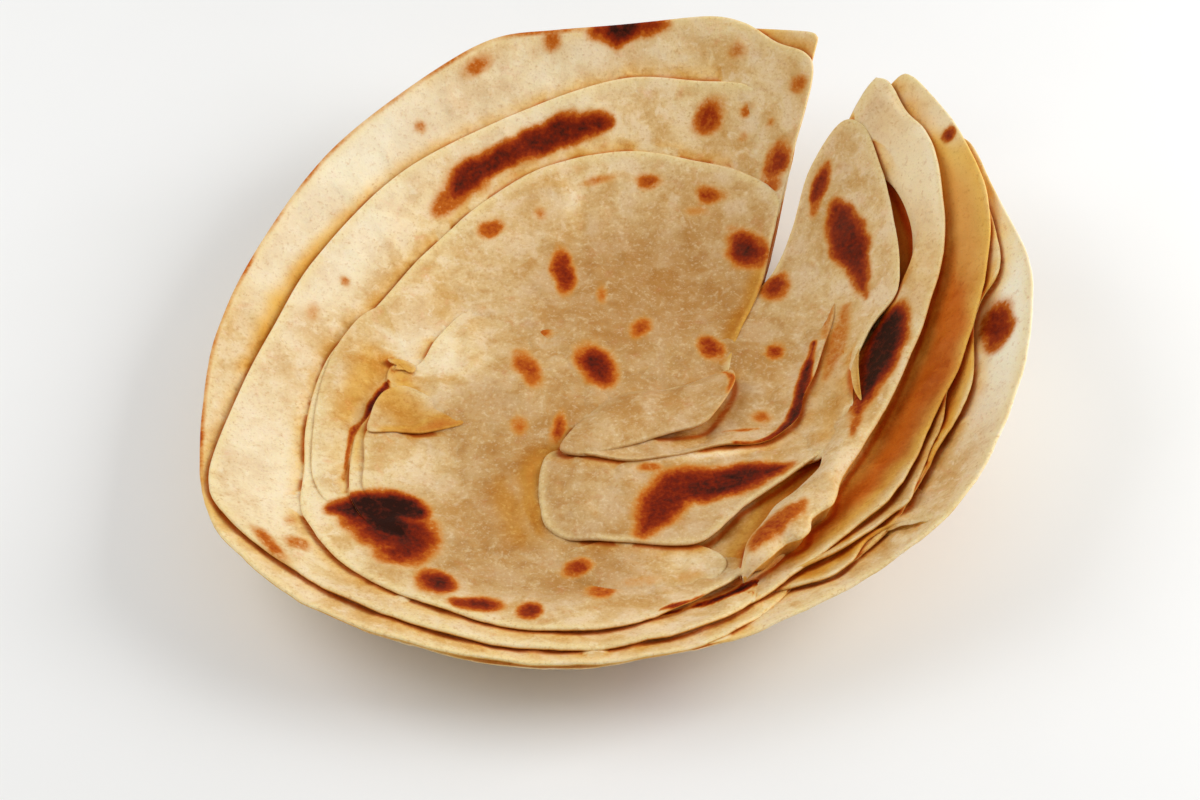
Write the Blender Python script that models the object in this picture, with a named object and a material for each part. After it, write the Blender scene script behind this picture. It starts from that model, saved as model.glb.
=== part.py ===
"""A layered paratha: one flatbread of many thin leaves, cut once from rim to middle.

The bread lies as a shallow cup. Its leaves are stacked sheets whose edges step down
towards the middle on one side of the cut and fan out on the other side. Each leaf is
drawn by its outline on the cup, and the leaves are united into one closed solid.
Sizes are in millimetres and bearings in degrees, counted from +X towards +Y.
"""
import math

import bmesh
import bpy
import numpy as np

MM = 0.001

# Driving dimensions of the cup that the bread lies in.
FLAT_RADIUS = 42.0      # the middle is flat out to here
RIM_RADIUS = 110.0      # where the rim's rise is measured
RIM_RISE = 30.0         # mean rise of the rim above the middle
RIM_LEAN = 13.0         # how much higher than the mean the rim is on its high side
LEAN_BEARING = 35.0     # bearing of the high side
MIDDLE_DEPTH = 10.0     # thickness of the stack in the middle
ORIGIN_X = -1.7         # moves the bread so that its box is centred on the origin
ORIGIN_Y = -4.25

# How a leaf is made.
LEAF = 1.9              # thickness of one leaf at its free edge
GROOVE = 11.0           # how far in under its free edge a leaf stands off the next one
EDGE_POWER = 3.0        # how late on its way out a leaf lifts to the height of its edge
FACET = 12.0            # longest straight piece along an outline
RING_STEPS = (0.0, 0.38, 0.56, 0.72, 0.84, 0.93, 1.0)
SMALL_REACH = 40.0      # a leaf that spreads less than this has every second ring
BAND_STEPS = (0.0, 0.22, 0.5, 0.78, 1.0)
BAND_PIECES = 2         # pieces of each stretch of the band's two edges

# Lift of a leaf is its height above the cup's surface. A leaf starts at its hub with
# the lift called level, and each knot of its outline is (bearing, reach, lift).
# Rest is the lift that its underside comes down to behind its groove, inside the next leaf.
LEAVES = {
    "bottom": dict(hub=(0, 0), level=-8.0, rest=-10.0, outline=[
        (61, 115.8, -7.2), (75, 112.5, -7.5), (98, 111, -7.5), (125, 109, -7.5),
        (157, 104, -7.5), (190, 109, -7.5), (210, 114.5, -7.5), (222, 114, -7.5),
        (240, 109, -7.5), (262, 104, -7), (285, 101, -6.5), (304, 102, -6.2),
        (324, 107.8, -6.2), (348, 108.8, -6.2), (4, 111.8, -6.2), (22, 111.6, -6.2),
        (29, 113, -6.2), (34, 110, -6.5), (38, 100, -7), (40.5, 80, -8), (43.5, 60, -8),
        (50, 76, -7.5), (57, 104, -7.2), (58.5, 113.6, -7)]),
    "outer": dict(hub=(0, 0), level=-6.0, rest=-8.5, outline=[
        (57.5, 108, -4), (60, 111, -4), (75, 113.5, -5), (98, 112, -5),
        (110, 113, -5), (135, 108.5, -5), (157, 106, -5), (178, 108, -5),
        (204, 116, -5), (213, 118.8, -5), (230, 115, -5), (250, 107.5, -5),
        (280, 102, -5), (302, 88, -6), (330, 60, -6), (0, 50, -6), (25, 52, -6),
        (42, 59, -5), (47, 68, -5), (55, 93, -4.2)]),
    "second": dict(hub=(0, 0), level=-3.5, rest=-6.8, outline=[
        (56, 95, -6), (60, 99, -6.5), (66, 102, -5.5), (75, 100, -3),
        (88, 99.5, -2.5), (108, 95, -2.5), (131, 93, -2.5), (155, 92, -2.5),
        (172, 94, -2.5), (186, 100, -2.5), (203, 113, -2.5), (209, 115.5, -2.5),
        (218, 111.5, -2.5), (240, 104, -2.5), (265, 99, -3), (285, 94, -3),
        (305, 80, -4), (330, 55, -4), (0, 48, -4), (25, 50, -4), (41, 57, -3),
        (47, 67.5, -3), (52, 80.5, -3.5)]),
    "fan_low": dict(hub=(350, 60), level=-6.4, rest=-7.2, outline=[
        (34, 108, -5), (28, 110.5, -3.5), (21, 108.5, -3), (9, 105.5, -3),
        (5.5, 104.5, -3), (3, 98, -3), (349, 96.5, -3), (335, 92.5, -3),
        (320, 94, -4), (305, 92, -6), (296, 80, -6.5), (300, 50, -6.5), (350, 40, -6.5),
        (30, 60, -6.3)]),
    "fan_wide": dict(hub=(20, 45), level=-6.0, rest=-6.6, outline=[
        (42, 113.2, -1), (43.6, 112.6, -1.5), (45.5, 106, -3.5), (45, 92, -5),
        (42, 66, -6), (60, 40, -6), (150, 30, -6), (240, 50, -6), (275, 80, -6),
        (290, 89.5, -4.5), (304, 86.5, -2), (316, 87, 0), (322, 89.5, 0),
        (333, 88.5, 0), (342, 88.5, 0), (353, 93.5, 0), (7, 101, 0), (19, 108, 0),
        (31, 111, 0), (38, 112.3, 0)]),
    "ring": dict(hub=(0, 0), level=-0.5, rest=-4.3, outline=[
        (53, 81, -4), (63, 83, -4), (73, 81.5, 0), (86, 82, 0), (103, 80, 0),
        (118, 76, 0), (137, 71.5, 0), (156, 71, 0), (175, 78, 0), (193, 84, 0),
        (203, 88, 0), (214, 96, 0), (228, 97.5, 0), (250, 94, 0), (270, 91, 0),
        (287, 82, 0), (297, 78, 0), (303, 70, 0), (322, 44, -1), (345, 33, 0),
        (8, 33, 1), (27, 40, 1), (41, 56.5, 0), (47, 67, -0.5), (50, 74, -1.5)]),
    "middle": dict(hub=(225, 35), level=0.8, rest=-1.3, outline=[
        (110, 35, -1.5), (137, 48, -1), (151, 50, 0.5), (175, 55, 2), (185, 63, 2),
        (200, 73, 2), (214, 82, 2), (235, 88, 1.2), (252, 85.5, 0.3),
        (264, 81, -1), (285, 60, -1.5), (320, 30, -1.5), (30, 12, -1.5)]),
    "fan_high": dict(hub=(20, 60), level=-2.0, rest=-5.0, outline=[
        (342, 67, 0), (357, 65, 3), (9, 72, 6), (13, 80, 7), (26, 87, 7),
        (39, 95.5, 5), (45, 99.2, 3.5), (48, 97.5, 3), (49, 87, 1), (45, 73, -1),
        (41.5, 58, -2), (60, 25, -4), (200, 20, -4), (270, 30, -4), (300, 45, -4),
        (320, 54, -4), (334, 61, -3)]),
    "flap": dict(hub=(290, 42), level=1.5, rest=-2.5, outline=[
        (264, 62, 2), (255, 61, 2), (250, 54, 3), (246, 45, 3), (240.5, 35, 3.5),
        (246, 27, 2.5), (290, 22, 2), (320, 32, 2), (340, 48, 2.5), (343, 60, 4),
        (338, 65, 5), (329, 65, 6), (320, 59, 6), (311, 56, 5.5), (304, 56.5, 5),
        (296.5, 59.5, 4), (290.5, 62, 3), (279, 60.5, 2.5)]),
    "pleat": dict(hub=(348, 42), level=1.0, rest=-2.5, outline=[
        (36, 66, -3.2), (27, 70.5, -1.5), (18, 63, 2), (8, 58, 3), (351, 52.5, 4),
        (343, 53, 4), (337, 51, 4), (329, 47, 4), (319, 38, 4), (301, 33, 4),
        (284, 31, 4), (263, 29, 4), (249, 28, 3), (250, 20, 2), (300, 8, 1.5),
        (0, 18, 0), (12, 30, -1.5), (25, 38, -2), (36, 46, -2.5), (41, 55, -3)]),
    "tongue": dict(hub=(310, 17), level=4.5, rest=0.0, outline=[
        (243, 30, 5), (241, 23, 5), (242, 15, 4.5), (275, 6, 4), (333, 9, 3.5),
        (354, 23, 3.5), (2, 32, 5), (355, 33, 6.5), (338, 32.5, 7.5),
        (322, 31.5, 7), (308, 27, 5), (296, 25, 4), (280, 25, 3.5),
        (255, 29, 3.5)]),
}

# The narrow leaf that stands between its neighbours in the fan: two facing edges.
BAND = dict(bulge=2.5, rest=-5.0, outer=[
    (46.5, 108.5, 2), (44.5, 108.8, 2.5), (39, 106, 3), (34, 105, 4), (28, 102, 5),
    (16, 94, 5), (4, 85, 5), (347, 76.5, 5), (334, 74, 5), (323, 75, 5),
    (311, 79, 5), (302, 80.5, 4), (294, 83, 3)], inner=[
    (47.5, 99, 0), (42, 93, -1), (34, 94, 1.5), (24, 91, 2), (12, 84, 2),
    (2, 75, 0), (348, 65, -1), (337, 62, 1), (331, 66, 4.5), (322, 65.5, 5),
    (313, 64, 5), (305, 66, 5), (295.5, 76, 3)])


def at(bearing, reach):
    """Point in plan at a bearing and a distance from the cup's axis."""
    angle = math.radians(bearing)
    return np.array([reach * math.cos(angle), reach * math.sin(angle)])


def rim_rise(x, y):
    """Rise of the rim at the bearing of a point."""
    return RIM_RISE + RIM_LEAN * np.cos(np.arctan2(y, x) - math.radians(LEAN_BEARING))


def cup_height(x, y):
    """Height of the cup's surface: flat in the middle, then a parabola to the rim."""
    way_up = np.clip((np.hypot(x, y) - FLAT_RADIUS) / (RIM_RADIUS - FLAT_RADIUS), 0, None)
    return rim_rise(x, y) * way_up ** 2


def cup_normal(x, y):
    """Unit normal of the cup's surface, from its slopes over a short step."""
    step = 0.1
    slope_x = (cup_height(x + step, y) - cup_height(x - step, y)) / (2 * step)
    slope_y = (cup_height(x, y + step) - cup_height(x, y - step)) / (2 * step)
    normal = np.stack([-slope_x, -slope_y, np.ones_like(slope_x)], axis=-1)
    return normal / np.linalg.norm(normal, axis=-1, keepdims=True)


def smooth_curve(knots, closed, pieces=None):
    """Points of a centripetal Catmull-Rom curve through (x, y, lift) knots.

    Pieces says how many steps each stretch has, where its own length doesn't decide.
    """
    count = len(knots)
    points = []
    for i in range(count if closed else count - 1):
        if closed:
            p0, p1, p2, p3 = (knots[(i + k) % count] for k in (-1, 0, 1, 2))
        else:
            p1, p2 = knots[i], knots[i + 1]
            p0 = knots[i - 1] if i > 0 else 2 * p1 - p2
            p3 = knots[i + 2] if i + 2 < count else 2 * p2 - p1
        t1 = math.sqrt(math.dist(p0[:2], p1[:2]))
        t2 = t1 + math.sqrt(math.dist(p1[:2], p2[:2]))
        t3 = t2 + math.sqrt(math.dist(p2[:2], p3[:2]))
        steps = pieces or math.ceil(math.dist(p1[:2], p2[:2]) / FACET)
        for t in np.linspace(t1, t2, steps, endpoint=False):
            a1 = ((t1 - t) * p0 + t * p1) / t1
            a2 = ((t2 - t) * p1 + (t - t1) * p2) / (t2 - t1)
            a3 = ((t3 - t) * p2 + (t - t2) * p3) / (t3 - t2)
            b1 = ((t2 - t) * a1 + t * a2) / t2
            b2 = ((t3 - t) * a2 + (t - t1) * a3) / (t3 - t1)
            points.append(((t2 - t) * b1 + (t - t1) * b2) / (t2 - t1))
    if not closed:
        points.append(knots[-1])
    return np.array(points)


def outline_points(knots, closed=True, pieces=None):
    """Outline of a leaf as (x, y, lift), from its (bearing, reach, lift) knots."""
    placed = np.array([[*at(bearing, reach), lift] for bearing, reach, lift in knots])
    return smooth_curve(placed, closed, pieces)


def on_cup(plan, lift):
    """Lay plan points on the cup at a lift."""
    height = cup_height(plan[..., 0], plan[..., 1]) + lift
    return np.concatenate([plan, height[..., None]], axis=-1)


def skin_faces(rings, around, closed):
    """Faces of one side of a leaf, as (ring, place) corners. A closed one has a hub."""
    faces = []
    for j in range(around if closed else around - 1):
        k = (j + 1) % around
        for i in range(rings - 1):
            if closed and i == 0:
                faces.append([(0, 0), (1, k), (1, j)])
            else:
                faces.append([(i, j), (i, k), (i + 1, k), (i + 1, j)])
    return faces


def closed_object(name, top, under, closed):
    """Close a leaf's upper and lower grids into one body, and make it an object."""
    rings, around = top.shape[:2]
    mesh = bmesh.new()
    faces = skin_faces(rings, around, closed)
    for side in (top, under):
        corners = {}
        for i, j in sorted({corner for face in faces for corner in face}):
            corners[i, j] = mesh.verts.new(side[i, j] * MM)
        for face in faces:
            mesh.faces.new([corners[corner] for corner in face])
    bmesh.ops.bridge_loops(mesh, edges=[e for e in mesh.edges if e.is_boundary])
    bmesh.ops.recalc_face_normals(mesh, faces=mesh.faces)
    bmesh.ops.triangulate(mesh, faces=mesh.faces)
    data = bpy.data.meshes.new(name)
    mesh.to_mesh(data)
    mesh.free()
    leaf = bpy.data.objects.new(name, data)
    bpy.context.collection.objects.link(leaf)
    return leaf


def underside(top, lift, rest, inward):
    """Underside of a leaf: one leaf thick at the free edge, and at its rest further in."""
    under = top - LEAF * cup_normal(top[..., 0], top[..., 1])
    under[..., 2] -= np.clip(lift - LEAF - rest, 0, None) * np.clip(inward / GROOVE, 0, 1)
    return under


def make_leaf(name, hub, level, rest, outline):
    """A leaf that spreads from its hub to its outline. A small one has fewer rings."""
    edge = outline_points(outline)
    centre = at(*hub)
    reach = np.hypot(*(edge[:, :2] - centre).T)
    steps = np.array(RING_STEPS if reach.mean() > SMALL_REACH else RING_STEPS[::2])[:, None]
    plan = centre + steps[..., None] * (edge[:, :2] - centre)
    lift = level + (edge[:, 2] - level) * steps ** EDGE_POWER
    top = on_cup(plan, lift)
    inward = (1 - steps) * reach
    return closed_object(name, top, underside(top, lift, rest, inward), closed=True)


def make_bottom(name, hub, level, rest, outline):
    """The lowest leaf, whose underside is truly flat out to the flat's radius."""
    edge = outline_points(outline)
    steps = np.array(RING_STEPS)[:, None]
    bearing = np.arctan2(edge[:, 1], edge[:, 0])
    circle = FLAT_RADIUS * np.stack([np.cos(bearing), np.sin(bearing)], axis=-1)
    outward = np.clip((steps - RING_STEPS[1]) / (1 - RING_STEPS[1]), 0, 1)[..., None]
    plan = circle + outward * (edge[:, :2] - circle)
    plan[0] = 0.0
    lift = level + (edge[:, 2] - level) * steps ** EDGE_POWER
    top = on_cup(plan, lift)
    under = top - LEAF * cup_normal(plan[..., 0], plan[..., 1])
    under[:2, :, 2] = rest
    under[:2, :, :2] = plan[:2]
    return closed_object(name, top, under, closed=True)


def make_band(name, outer, inner, bulge, rest):
    """A leaf that spans from its inner to its outer edge, crowned between them."""
    far = outline_points(outer, closed=False, pieces=BAND_PIECES)
    near = outline_points(inner, closed=False, pieces=BAND_PIECES)
    steps = np.array(BAND_STEPS)[:, None]
    across = near + steps[..., None] * (far - near)
    crown = 4 * steps * (1 - steps)
    lift = across[..., 2] + bulge * crown
    top = on_cup(across[..., :2], lift)
    return closed_object(name, top, underside(top, lift, rest, GROOVE * crown), closed=False)


def keep_outer_shell(mesh):
    """Drop the shells of hollows shut between leaves: only the largest one stays."""
    todo = set(mesh.verts)
    shells = []
    while todo:
        shell = {todo.pop()}
        front = list(shell)
        while front:
            for edge in front.pop().link_edges:
                for vert in edge.verts:
                    if vert in todo:
                        todo.discard(vert)
                        shell.add(vert)
                        front.append(vert)
        shells.append(shell)
    shells.sort(key=len)
    for shell in shells[:-1]:
        bmesh.ops.delete(mesh, geom=list(shell), context="VERTS")
    return len(shells) - 1


def unite(name, leaves):
    """Unite the leaves into one closed body with a Boolean, and drop the leaves."""
    group = bpy.data.collections.new("leaves")
    body = leaves[0]
    for leaf in leaves[1:]:
        group.objects.link(leaf)
    union = body.modifiers.new("union", "BOOLEAN")
    union.operation = "UNION"
    union.solver = "EXACT"
    union.operand_type = "COLLECTION"
    union.collection = group
    graph = bpy.context.evaluated_depsgraph_get()
    data = bpy.data.meshes.new_from_object(body.evaluated_get(graph))
    for leaf in leaves:
        bpy.data.objects.remove(leaf)
    bpy.data.collections.remove(group)
    mesh = bmesh.new()
    mesh.from_mesh(data)
    print("inner shells dropped:", keep_outer_shell(mesh))
    bmesh.ops.triangulate(mesh, faces=mesh.faces)
    bmesh.ops.translate(mesh, verts=mesh.verts,
                        vec=(ORIGIN_X * MM, ORIGIN_Y * MM, MIDDLE_DEPTH * MM))
    mesh.to_mesh(data)
    mesh.free()
    data.name = name
    bread = bpy.data.objects.new(name, data)
    bpy.context.collection.objects.link(bread)
    return bread


def dough_material():
    """Plain baked dough."""
    material = bpy.data.materials.new("baked_dough")
    material.use_nodes = True
    shader = material.node_tree.nodes["Principled BSDF"]
    shader.inputs["Base Color"].default_value = (0.66, 0.45, 0.22, 1.0)
    shader.inputs["Roughness"].default_value = 0.55
    shader.inputs["Metallic"].default_value = 0.0
    return material


def build():
    for item in list(bpy.data.objects):
        bpy.data.objects.remove(item)
    leaves = []
    for name, shape in LEAVES.items():
        maker = make_bottom if name == "bottom" else make_leaf
        leaves.append(maker(name, **shape))
    leaves.append(make_band("band", **BAND))
    bread = unite("paratha", leaves)
    bread.data.materials.clear()
    bread.data.materials.append(dough_material())
    bread.data.shade_smooth()
    bread.data.set_sharp_from_angle(angle=math.radians(35))


build()
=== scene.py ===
"""The looks of a layered paratha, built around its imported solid.

Every leaf of the bread is modelled again as a fine mesh with a rounded edge, waves and
blisters, and all of them together replace the one solid. Sizes are in millimetres and
bearings in degrees, counted from +X towards +Y about the cup's axis, as in the solid.
"""
import math

import bpy
import numpy as np
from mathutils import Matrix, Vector


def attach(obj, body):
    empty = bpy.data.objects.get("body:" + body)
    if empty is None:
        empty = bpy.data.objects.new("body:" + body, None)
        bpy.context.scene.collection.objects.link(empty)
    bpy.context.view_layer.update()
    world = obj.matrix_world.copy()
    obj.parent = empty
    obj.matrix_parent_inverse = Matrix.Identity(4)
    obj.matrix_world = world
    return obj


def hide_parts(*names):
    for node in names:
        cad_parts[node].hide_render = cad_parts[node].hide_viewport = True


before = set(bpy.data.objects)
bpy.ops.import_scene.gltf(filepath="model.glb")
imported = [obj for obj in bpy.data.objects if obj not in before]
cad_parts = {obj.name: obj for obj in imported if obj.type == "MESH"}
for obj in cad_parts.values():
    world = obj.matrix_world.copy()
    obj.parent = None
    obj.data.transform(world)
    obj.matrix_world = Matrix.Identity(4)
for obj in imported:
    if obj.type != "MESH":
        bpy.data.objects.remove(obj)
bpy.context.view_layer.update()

MM = 0.001

# The cup that the bread lies in.
FLAT_RADIUS = 42.0         # its flat middle
RIM_RADIUS = 110.0
RIM_RISE = 30.0            # height of its rim over its middle
RIM_LEAN = 13.0            # how much more that is at LEAN_BEARING, and less across from it
LEAN_BEARING = 35.0
MIDDLE_DEPTH = 10.0        # depth of the leaves in its middle
CUP_AXIS = (-1.7, -4.25)   # where its axis stands in the solid's frame

# A leaf.
LEAF = 1.9                 # thickness, but for the free edge
THIN = 1.1                 # thickness at the free edge
TAPER = 9.0                # how far in a leaf reaches its thickness
GROOVE = 11.0              # how far in under its edge it stands off the next leaf
EDGE_POWER = 3.0           # how late on its way out it lifts to the height of its edge
SPACING = 1.1              # distance between neighbouring points of an outline
LIP = (0.0, 0.04, 0.16, 0.36, 0.6, 1.1)   # how far in the rows over the rounded edge are
BAND_STEP = 0.9            # distance between the rows of the narrow leaf
BAND_PIECES = 9            # and how many columns it has from knot to knot

# Rows of points, from a leaf's edge in to its hub.
EVERYWHERE = 200.0         # further in than any leaf reaches
SHOWN_STEP = 1.0           # distance between rows, as far in as the leaf is shown
INNER_STEP = 2.5           # and further in
UNDER_STEP = 1.6           # distance between rows of an underside, near its edge
HIDDEN_STEP = 8.0          # and further in, where the next leaf hides it
UNDER_SHOWN = 60.0         # how far in the bread's own underside has such near rows
NEAR_SHARE = 0.7           # near rows end at this share of the way in, at the latest

# What its points carry.
SKIN_EDGE_HIGHLIGHT = 0.4             # how pale a skin's edge is painted, a painted highlight, where a leaf's is 1
EDGE_SHADE_REACH = 12.0        # how far from an overlying edge the painted shade along it reaches
UNDER_SHADE = 0.5          # how much painted shade, amber and darker, the undersides get that face another leaf
FAR, DEEP = 99.0, -50.0    # distance and lift of an edge that isn't near

# The leaves of the bread, from its underside up. A leaf spreads from its hub (bearing,
# reach) to its outline, whose knots are (bearing, reach, lift of the edge above the cup).
# level is its lift at the hub, and rest that of its hidden underside. power replaces
# EDGE_POWER, shown is how far in from its edge it has fine rows, and rim is how pale its
# edge is painted, a painted highlight where the thin edge catches the light.
LEAVES = {
    "bottom": dict(hub=(0, 0), level=-8.0, rest=-10.0, shown=22, outline=[
        (61, 115.2, -7.2), (75, 112.5, -7.5), (98, 111, -7.5), (125, 109, -7.5),
        (157, 104, -7.5), (190, 109, -7.5), (210, 114.5, -7.5), (222, 114, -7.5),
        (240, 109, -7.5), (262, 104, -7), (285, 101, -6.5), (304, 102, -6.2),
        (324, 107.8, -6.2), (348, 108.8, -6.2), (4, 111.8, -6.2), (22, 111.6, -6.2),
        (29, 113, -6.2), (34, 110, -6.5), (38, 100, -7), (40.5, 80, -8), (43.5, 60, -8),
        (51.2, 76, -7.5), (57.4, 103, -7.2), (58.6, 113.2, -7), (58.8, 114.8, -7),
        (59.3, 115.2, -7)]),
    "outer": dict(hub=(0, 0), level=-6.0, rest=-7.5, shown=26, outline=[
        (57.6, 108.5, -4.4), (59.5, 110.4, -4.6), (64.5, 111, -5), (70, 113.2, -5),
        (76, 113.4, -5), (98, 112, -5),
        (110, 113, -5), (135, 108.5, -5), (157, 106, -5), (178, 108, -5),
        (204, 116, -5), (213, 118.8, -5), (230, 115, -5), (250, 107.5, -5),
        (280, 102, -5), (302, 88, -6), (330, 60, -6), (0, 50, -6), (25, 52, -6),
        (42, 59, -5), (47, 68, -5), (55, 93, -4.2)]),
    "second": dict(hub=(0, 0), level=-3.5, rest=-6.8, shown=32, outline=[
        (56, 95, -6), (60, 99, -6.5), (66, 102, -5.5), (75, 100, -3.2),
        (88, 99.5, -2.8), (108, 95, -2.8), (131, 93, -2.7), (155, 92, -2.7),
        (172, 94, -2.7), (186, 100, -2.7), (203, 113, -2.8), (209, 115.5, -2.8),
        (218, 111.5, -3), (240, 104, -3), (265, 99, -3), (285, 94, -3),
        (305, 80, -4), (330, 55, -4), (0, 48, -4), (25, 50, -4), (41, 57, -3),
        (47, 67.5, -3), (52, 80.5, -3.5)]),
    "fan_low": dict(hub=(350, 60), level=-6.4, rest=-7.2, shown=24, outline=[
        (34, 108, -5), (28, 110.5, -3.5), (21, 108.5, -3), (10, 106, -3),
        (6.5, 104, -3), (4.5, 100.5, -3), (1, 97.5, -3), (349, 96.5, -3), (335, 92.5, -3),
        (320, 94, -4), (305, 92, -6), (296, 80, -6.5), (300, 50, -6.5),
        (350, 40, -6.5), (30, 60, -6.3)]),
    "fan_wide": dict(hub=(20, 45), level=-3.8, rest=-6.6, power=2.0, shown=40, outline=[
        (42, 113.2, -1), (43.6, 112.6, -1.5), (45.5, 106, -3.5), (45, 92, -5),
        (42, 66, -6), (60, 40, -6), (150, 30, -6), (240, 50, -6), (275, 80, -6),
        (290, 89.5, -4.5), (304, 86.5, -2), (316, 87, 0), (322, 89.5, 0),
        (333, 88.5, 0), (342, 88.5, 0), (353, 93.5, 0), (7, 101, 0), (19, 108, 0),
        (31, 111, 0), (38, 112.3, 0)]),
    "ring": dict(hub=(0, 0), level=-0.5, rest=-4.3, outline=[
        (53, 81, -4), (63, 83, -4), (73, 81.5, -1.8), (86, 82, -1.4), (103, 80, -1.4),
        (118, 76, -1.4), (137, 71.5, -1.4), (156, 71, -1.4), (175, 78, -1.4), (193, 84, -1.4),
        (203, 88, -1.4), (214, 96, -1.4), (228, 97.5, -1.4), (250, 94, -1.2), (270, 91, -0.8),
        (287, 82, -0.4), (297, 78, 0), (303, 70, 0), (322, 44, -1), (345, 33, 0),
        (8, 33, 0.6), (27, 40, 0.6), (41, 56.5, 0), (47, 67, -0.5), (50, 74, -1.5)]),
    "middle": dict(hub=(225, 35), level=0.8, rest=-1.6, outline=[
        (110, 35, -3), (137, 48, -1.5), (147, 50.1, -0.2), (161, 51.6, 0.4), (171, 53, 0.5),
        (174, 56, 0.5), (174, 60.5, 0.4), (179, 61.5, 0.3), (183, 60.5, 0.4), (188, 65, 0.4),
        (192, 67.2, 0.4), (196, 71.2, 0.4), (200, 73.4, 0.4), (209, 79.1, 0.3),
        (214, 82, 0), (221, 83, -0.8), (235, 82, -2.2), (252, 78, -3),
        (264, 72, -3.5), (285, 50, -3.5), (320, 30, -3.5), (30, 12, -3.5)]),
    "fan_high": dict(hub=(20, 60), level=1.0, rest=-5.0, power=2.2, outline=[
        (330, 66, 4.6), (337, 66.5, 4.8), (344, 67, 5), (351, 66.2, 5), (358, 66.2, 5),
        (3, 67.8, 5.4), (8, 72, 6), (13, 80, 7), (26, 87, 7), (39, 95.5, 5), (45, 99.2, 3.5),
        (48, 97.5, 3), (49, 87, 1), (45, 73, -1), (41.5, 58, -2), (60, 25, -4), (200, 20, -4),
        (270, 30, -4), (300, 45, -4), (318, 52, -1), (326, 61, 3)]),
    "flap": dict(hub=(290, 42), level=3.0, rest=-2.5, outline=[
        (264, 56.3, 1.0), (258, 56.2, 0.6), (251.5, 53.8, 0.6), (247.5, 49, 0.9),
        (243, 42.5, 1.3), (239, 36.5, 1.9), (237, 31, 2.0), (246, 24, 0), (290, 20, 1.5),
        (320, 30, 1), (338, 46, 0), (345, 54, 0), (340, 61, 2), (334.5, 64.5, 4.2),
        (330, 63.8, 4.9), (326, 62.4, 5.1), (318, 60.2, 5.3), (311, 58.8, 5), (306, 58.6, 4.6),
        (300, 60.2, 4), (296, 62, 3.4), (291.5, 62.9, 2.9), (286, 61.5, 2.4), (277, 58.5, 1.8)]),
    "pleat": dict(rim=0.5, hub=(348, 42), level=1.0, rest=-2.5, outline=[
        (36, 66, -3.2), (27, 70.5, -0.5), (18, 65, 2.6), (8, 58.5, 3.2), (358, 55, 3.7),
        (351, 53, 4), (343, 53, 4), (337, 51, 4), (329, 47, 4), (319, 38, 4), (301, 33, 4),
        (284, 31, 4), (263, 29, 4), (249, 28, 3), (250, 20, 2), (300, 8, 1.5),
        (0, 18, 0), (12, 30, -1.5), (25, 38, -2), (36, 46, -2.5), (41, 55, -3)]),
    "tongue": dict(rim=0.3, hub=(310, 19), level=4.6, rest=0.0, power=2.5, outline=[
        (243, 30, 4.4), (240, 23, 3), (240, 14, 0.4), (275, 4, -0.6), (340, 6, -0.6),
        (357, 18, 0.4), (3, 28, 3), (3, 33, 5), (355, 34, 6.4), (338, 32.5, 7),
        (322, 31.5, 6.6), (308, 27, 5), (296, 25, 4), (280, 25, 3.5), (255, 29, 3.5)]),
}

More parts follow.
